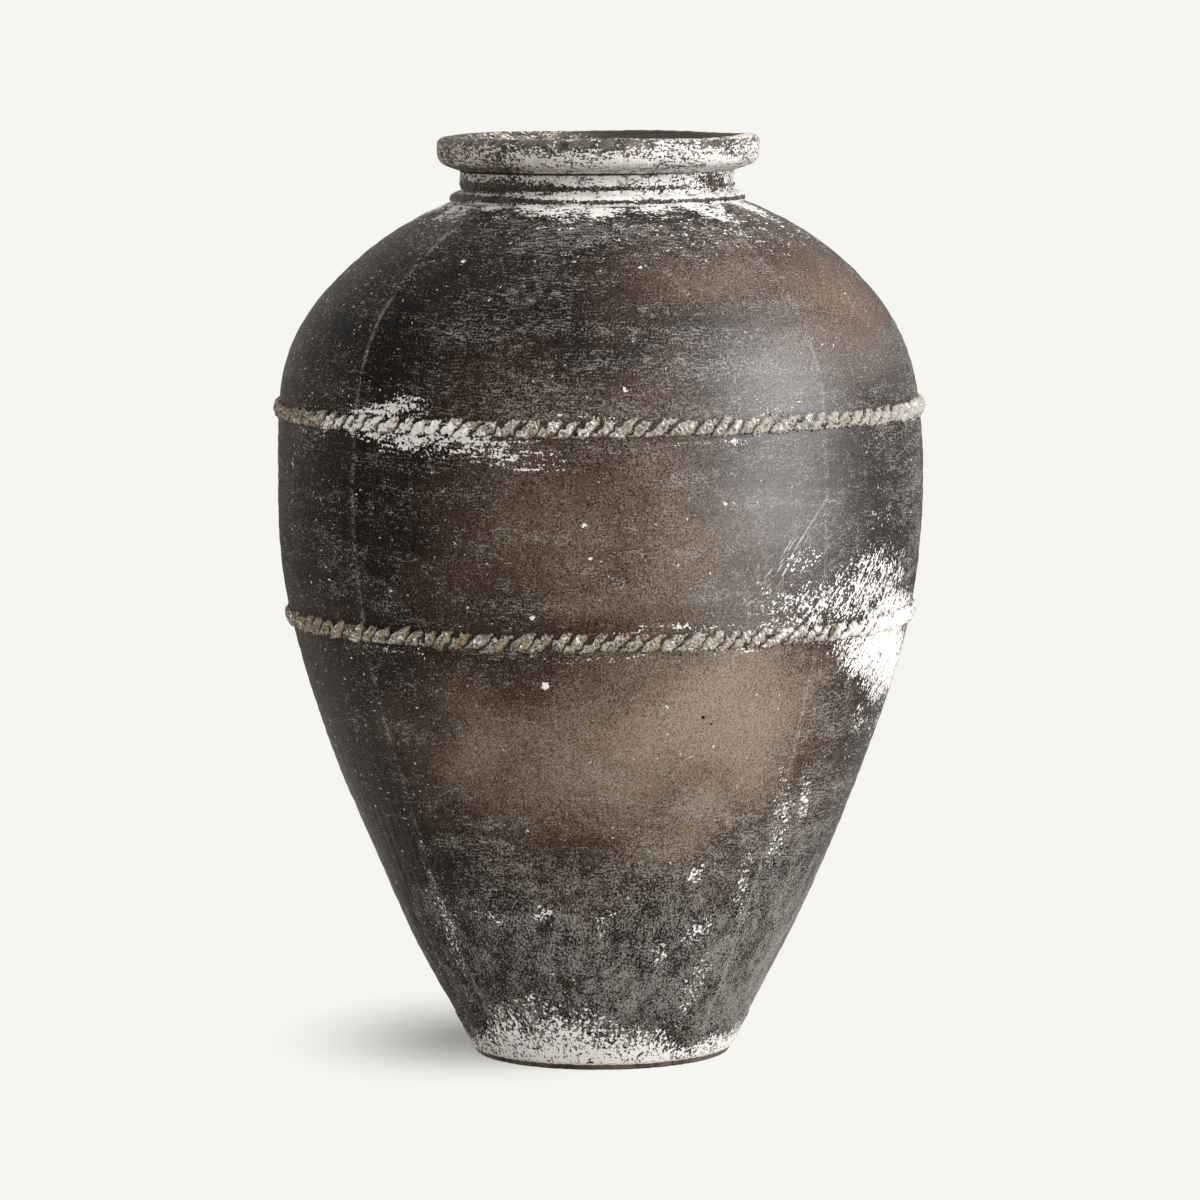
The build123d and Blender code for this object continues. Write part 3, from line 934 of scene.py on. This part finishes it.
def neck_ring():
    """Upright ring with a stepped foot and head: spigot and tongue inside, flange outside."""
    section = path(
        (throat_radius, tongue_top, 4),
        (mouth_radius, tongue_top, 4),
        (mouth_radius, rim_seat, 4),
        (neck_radius, rim_seat, 26),
        (neck_radius, neck_seat, 4),
        (mouth_radius, spigot_top, 6),
        (mouth_radius, neck_bottom, 4),
        (throat_radius, neck_bottom, 18),
        (throat_radius, tongue_top, 0),
    )
    r, z = section[:, :, None] + 0 * ring_turns
    outer = (np.abs(r - neck_radius) < 0.0005) & (z > neck_seat + 0.001)
    lift = hand_waves(ring_turns, z, 51, 20, 8, 30, 0.0004)
    lift = lift + hand_waves(ring_turns, z, 52, 20, 60, 120, 0.00018)
    lift = lift + 0.0007 * hump(z - neck_ridge, 0.0022)
    neck = carried("neck_ring", r + lift * outer, z, ring_turns, "ring")
    left_side = blot(ring_turns, z, -54, 0.686, 36, 0.03, 0, 1.5)
    right_side = blot(ring_turns, z, 62, 0.686, 34, 0.03, 0, 1.5)
    stripe_half = 0.0017 + 0.0010 * left_side
    rubbed = (1 - 0.75 * right_side) * hump(z - neck_stripe - 0.0003 * left_side, stripe_half, 4)
    chalk = 0.98 - 0.80 * rubbed - 0.36 * left_side - 0.20 * right_side
    chalk = chalk - 0.30 * left_side * ramp(z, 0.6880, 0.686)
    chalk = chalk - 0.50 * blot(ring_turns, z, 59, 0.687, 7, 0.005)
    chalk = chalk + hand_waves(ring_turns, z, 53, 16, 14, 40, 0.07)
    # Dark line just under the rim: grime in the joint and painted shade under the overhang, fainter on the
    # lit right
    groove = ramp(z, rim_seat - 0.0012, rim_seat - 0.0002) * outer * (1 - 0.6 * right_side)
    paint(neck, chalk=np.where(r > mouth_radius, chalk, 0.35), groove=groove, stain=0.4 * left_side)
    return neck


chalked_neck = worn_chalk_finish("chalked_neck", (0.058, 0.039, 0.030, 1), (0.014, 0.0108, 0.0092, 1))
fixed_as(neck_ring(), "neck_ring", chalked_neck)


# Collar
# A round cordon pressed into the angle between neck and shoulder, over the joint. Its crest is rubbed
# bare and brown, and chalk fills the angles above and below it.

collar_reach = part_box("collar_ring")[1][0] - neck_radius
collar_rise = 0.0058
collar_rows = 30
collar_crest = 0.6720


def collar_ring():
    """Flattened quarter round from the neck over the crest to the shoulder, closed along both."""
    angle = np.radians(np.linspace(90, -32, collar_rows))
    face = np.stack([neck_radius + collar_reach * np.cos(angle), neck_seat + collar_rise * np.sin(angle)])
    back = np.array([[neck_radius - 0.001], [neck_seat - 0.001]])
    section = np.concatenate([face, back], axis=1)
    r, z = section[:, :, None] + 0 * ring_turns
    on_face = (np.arange(section.shape[1]) < collar_rows)[:, None]
    lift = hand_waves(ring_turns, z, 61, 24, 16, 40, 0.0004) * on_face
    collar = carried("collar_ring", r + lift, z + 0.5 * lift, ring_turns, "ring")
    left_side = hump(angle_from(ring_turns, -60), 34, 4)
    rubbed = hump(z - collar_crest - 0.0012 * left_side, 0.0017 + 0.0010 * left_side, 4)
    chalk = 0.98 - 0.80 * rubbed - 0.16 * left_side + hand_waves(ring_turns, z, 62, 16, 18, 30, 0.10)
    paint(collar, chalk=chalk, groove=0 * chalk, stain=0.3 * left_side + 0 * chalk)
    return collar


chalked_collar = worn_chalk_finish("chalked_collar", (0.070, 0.048, 0.037, 1), (0.019, 0.0142, 0.0118, 1))
fixed_as(collar_ring(), "collar_ring", chalked_collar)


# Rim
# A thick roll of clay wiped over the neck's tongue, with a mouth like a funnel. The lip is rubbed dark,
# with a pale painted highlight along its top on the right, and chalk wash lies thicker towards the
# underside, where a crack line, deepened with painted shade, shows the joint with the neck. The left side
# and underside are stained darker as painted shade, and inside the mouth the far left is chalked as painted
# light and the right darkened as painted shade.

rim_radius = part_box("rim_roll")[1][0]
rim_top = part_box("rim_roll")[1][2]
rim_crest = rim_radius - 0.0123
rim_mouth = rim_top - 0.015
rim_slant = 0.007
roll_middle = (0.114, 0.708)
roll_skin_start = 0.1095
roll_skin_full = 0.1135
lip_radius = 0.1245
lip_level = 0.718
lip_half = 0.003


def smoothed(corners, spacing):
    """A closed section through corners (radius, height, rounding): straight stretches, and at each corner
    an arc that touches both of them."""
    places = np.array([corner[:2] for corner in corners])
    stretches, starts, ends = [], [], []
    for place, (here, (_, _, rounding)) in enumerate(zip(places, corners)):
        back = places[place - 1] - here
        ahead = places[(place + 1) % len(places)] - here
        back, ahead = back / np.hypot(*back), ahead / np.hypot(*ahead)
        half = math.acos(np.dot(back, ahead)) / 2
        centre = here + (back + ahead) / np.hypot(*(back + ahead)) * rounding / math.sin(half)
        starts.append(here + back * rounding / math.tan(half))
        ends.append(here + ahead * rounding / math.tan(half))
        first = math.degrees(math.atan2(*(starts[-1] - centre)[::-1]))
        last = math.degrees(math.atan2(*(ends[-1] - centre)[::-1]))
        last = first + (last - first + 180) % 360 - 180
        steps = round(rounding * (math.pi - 2 * half) / spacing)
        stretches.append(bow(centre, rounding, first, last, steps))
    section = []
    for place, stretch in enumerate(stretches):
        start, end = ends[place], starts[(place + 1) % len(starts)]
        section += [stretch, run(start, end, max(1, round(np.hypot(*(end - start)) / spacing)))]
    return np.concatenate(section, axis=1)


def rim_section():
    """Section of the roll from the throat up the funnel, over the crest, round the lip, under the roll
    and back round the neck's tongue."""
    return smoothed([
        (throat_radius, rim_mouth, 0.006),
        (rim_crest, rim_top, 0.005),
        (rim_radius, rim_top, 0.0065),
        (rim_radius, rim_seat + rim_slant, 0.012),
        (neck_radius + 0.0006, rim_seat + 0.0004, 0),
        (mouth_radius, rim_seat, 0),
        (mouth_radius, tongue_top, 0),
        (throat_radius, tongue_top, 0),
    ], 0.0009)


def rim_roll():
    """The roll, a little out of true, with knocks along the lip."""
    r, z = rim_section()[:, :, None] + 0 * ring_turns
    skin = ramp(r, roll_skin_start, roll_skin_full)
    lift = hand_waves(ring_turns, z, 71, 20, 6, 20, 0.0005)
    lift = lift + hand_waves(ring_turns, z, 72, 30, 60, 90, 0.00012)
    knocks = np.clip(hand_waves(ring_turns, 0 * z, 73, 30, 60, 1, 1.0) - 1.2, 0, 1) * 0.0009
    at_lip = np.exp(-(((r - lip_radius) / lip_half) ** 2 + ((z - lip_level) / lip_half) ** 2))
    lift = lift * skin - knocks * at_lip
    away = np.arctan2(z - roll_middle[1], r - roll_middle[0])
    rim = carried("rim_roll", r + lift * np.cos(away), z + lift * np.sin(away), ring_turns, "ring")
    left_side = hump(angle_from(ring_turns, -56), 34, 4)
    right_side = hump(angle_from(ring_turns, 58), 44, 4)
    middle_chalk = stepped(z, 0.20, (0.44, 0.7155, 0.7105), (0.26, 0.7085, 0.7045))
    left_chalk = stepped(z, 0.24, (0.26, 0.7165, 0.7135), (0.16, 0.7080, 0.702), (-0.30, 0.7000, 0.697))
    right_chalk = stepped(z, 0.52, (0.16, 0.7150, 0.712), (0.16, 0.7080, 0.704))
    chalk = middle_chalk + (right_chalk - middle_chalk) * right_side
    chalk = chalk + (left_chalk - middle_chalk) * left_side
    # Pale tan line on top of the lip, strongest on the right: painted highlight
    lip = ramp(z, 0.7178, 0.7188) * np.clip(0.5 + 0.9 * np.sin(ring_turns - 0.05), 0, 1)
    chalk = chalk + 0.28 * lip + hand_waves(ring_turns, z, 74, 18, 12, 40, 0.08)
    inside = (r < rim_crest + 0.001) & (z > tongue_top)
    # Chalk inside the mouth, thickest on the far left wall that the lamp lights: partly painted light
    inner_chalk_and_light = 0.06 + 0.46 * blot(ring_turns, z, -142, 0.715, 34, 0.03, 0, 2)
    # Dark joint under the roll: grime and painted shade, fainter on the lit right
    joint = ramp(z, rim_seat + 0.0016, rim_seat + 0.0006) * (r > mouth_radius + 0.001)
    # Painted shade inside the mouth, darkest on the right, laid on as joint grime
    shaded = 0.66 * np.clip(0.6 + 1.2 * np.sin(ring_turns - 0.3), 0, 1) * inside
    # Tan staining, also as painted shade on the left, under the roll away from the lit right and inside the
    # mouth, and as the lip highlight's tint
    stain = 0.7 * left_side + 0.55 * ramp(z, 0.7010, 0.697) * (1 - right_side)
    paint(
        rim,
        chalk=np.where(inside, inner_chalk_and_light, chalk),
        groove=np.maximum(joint * (1 - 0.85 * right_side), shaded),
        stain=stain + 0.8 * inside + 0.6 * lip,
    )
    return rim


chalked_rim = worn_chalk_finish("chalked_rim", (0.130, 0.103, 0.083, 1), (0.034, 0.0275, 0.0230, 1))
fixed_as(rim_roll(), "rim_roll", chalked_rim)


# Studio
# A pale floor and backdrop of one colour, a large soft light from the right and an even pale surround for
# the jar, and a sun for the floor alone, which gives the shadow. The camera looks a little down on the jar
# from the front, through a long lens.

backdrop = (0.922, 0.913, 0.880, 1)
floor_size = 30.0
floor_pale = (0.800, 0.792, 0.764, 1)
floor_shaded = (0.592, 0.584, 0.563, 1)
floor_bounce = (0.220, 0.213, 0.200, 1)
key_bearing, key_rise, key_distance, key_width, key_power = 66.0, 29.0, 2.6, 1.4, 72.0
sun_bearing, sun_rise, sun_spread, sun_strength = 60.0, 58.0, 40.0, 2.90
surround = 0.88
shade_middle = (-0.100, 0.055, 0.0)
shade_length = 1.45
camera_aim = np.array([0.0, 0.0, 0.356])
camera_distance = 4.891
camera_bearing, camera_pitch, camera_roll = 2.25, 5.9, 0.33
camera_lens = 187.0


def look_from(bearing, rise, distance, aim):
    """A place at a bearing and rise in degrees from a point, and the turn that looks back at it."""
    turn, up = math.radians(bearing), math.radians(rise)
    away = np.array([math.sin(turn) * math.cos(up), -math.cos(turn) * math.cos(up), math.sin(up)])
    return aim + distance * away, (math.pi / 2 - up, 0.0, turn)


def lamp(name, kind, place, turn, power):
    """A light of one kind, placed and turned. The caller gives an area light its width, a sun its spread.
    """
    light = bpy.data.lights.new(name, kind)
    light.energy = power
    body = bpy.data.objects.new(name, light)
    body.location = place
    body.rotation_euler = turn
    bpy.context.scene.collection.objects.link(body)
    return body


def shines_on(lamp_body, name, piece, state):
    """Keeps a lamp to one piece ("INCLUDE"), or off it ("EXCLUDE"), as a flag or a barn door does."""
    lit = bpy.data.collections.new(name)
    lit.objects.link(piece)
    lit.collection_objects[0].light_linking.link_state = state
    lamp_body.light_linking.receiver_collection = lit


def pale_floor():
    """A flat floor that takes the jar's shadow near it and turns into plain backdrop further off."""
    half = floor_size / 2
    mesh = bpy.data.meshes.new("studio_floor")
    corners = [(-half, -half, 0), (half, -half, 0), (half, half, 0), (-half, half, 0)]
    mesh.from_pydata(corners, [], [(0, 1, 2, 3)])
    floor = bpy.data.objects.new("studio_floor", mesh)
    bpy.context.scene.collection.objects.link(floor)
    paper = Finish("pale_paper")
    seen = paper.add("ShaderNodeLightPath", out="Is Camera Ray")
    reach = paper.vector("LENGTH", paper.place, out="Value")
    from_shade = paper.vector("SUBTRACT", paper.place, shade_middle)
    from_shade = paper.vector("MULTIPLY", from_shade, (1, 1 / shade_length, 1))
    plain = paper.fade(paper.vector("LENGTH", from_shade, out="Value"), -0.02, 0.18)
    unseen_tone = paper.mix(paper.fade(reach, 1.8, 0.8), floor_bounce, floor_pale)
    mesh.materials.append(paper.done(paper.mix(seen, unseen_tone, floor_shaded), 1.0, 0.0))
    glow = paper.add("ShaderNodeEmission", {"Color": backdrop, "Strength": 1.0})
    sockets = {0: paper.times(plain, seen), 1: paper.shader.outputs[0], 2: glow}
    surface = paper.add("ShaderNodeMixShader", sockets)
    paper.tree.links.new(surface, paper.tree.nodes["Material Output"].inputs["Surface"])
    return floor


def surroundings():
    """An even pale surround that lights the jar, and shows to the camera as the backdrop's own colour."""
    world = bpy.data.worlds.new("pale_surround")
    world.use_nodes = True
    nodes, links = world.node_tree.nodes, world.node_tree.links
    sky = nodes["Background"]
    sky.inputs["Color"].default_value = backdrop
    rays = nodes.new("ShaderNodeLightPath")
    level = nodes.new("ShaderNodeMapRange")
    level.inputs["To Min"].default_value = surround
    level.inputs["To Max"].default_value = 1.0
    links.new(rays.outputs["Is Camera Ray"], level.inputs["Value"])
    links.new(level.outputs[0], sky.inputs["Strength"])
    bpy.context.scene.world = world


floor = pale_floor()
surroundings()
key_place, key_turn = look_from(key_bearing, key_rise, key_distance, np.array([0.0, 0.0, 0.42]))
key_light = lamp("key_light", "AREA", key_place, key_turn, key_power)
key_light.data.size = key_width
shines_on(key_light, "off_the_floor", floor, "EXCLUDE")
sun_place, sun_turn = look_from(sun_bearing, sun_rise, key_distance, np.zeros(3))
floor_light = lamp("floor_light", "SUN", sun_place, sun_turn, sun_strength)
floor_light.data.angle = math.radians(sun_spread)
shines_on(floor_light, "on_the_floor", floor, "INCLUDE")

camera_data = bpy.data.cameras.new("camera")
camera_data.lens = camera_lens
camera = bpy.data.objects.new("camera", camera_data)
camera_place, camera_turn = look_from(camera_bearing, camera_pitch, camera_distance, camera_aim)
camera.location = camera_place
camera.rotation_euler = (camera_turn[0], 0.0, camera_turn[2])
camera.rotation_euler.rotate_axis("Z", math.radians(-camera_roll))
bpy.context.scene.collection.objects.link(camera)
bpy.context.scene.camera = camera
bpy.context.scene.view_settings.view_transform = "Standard"
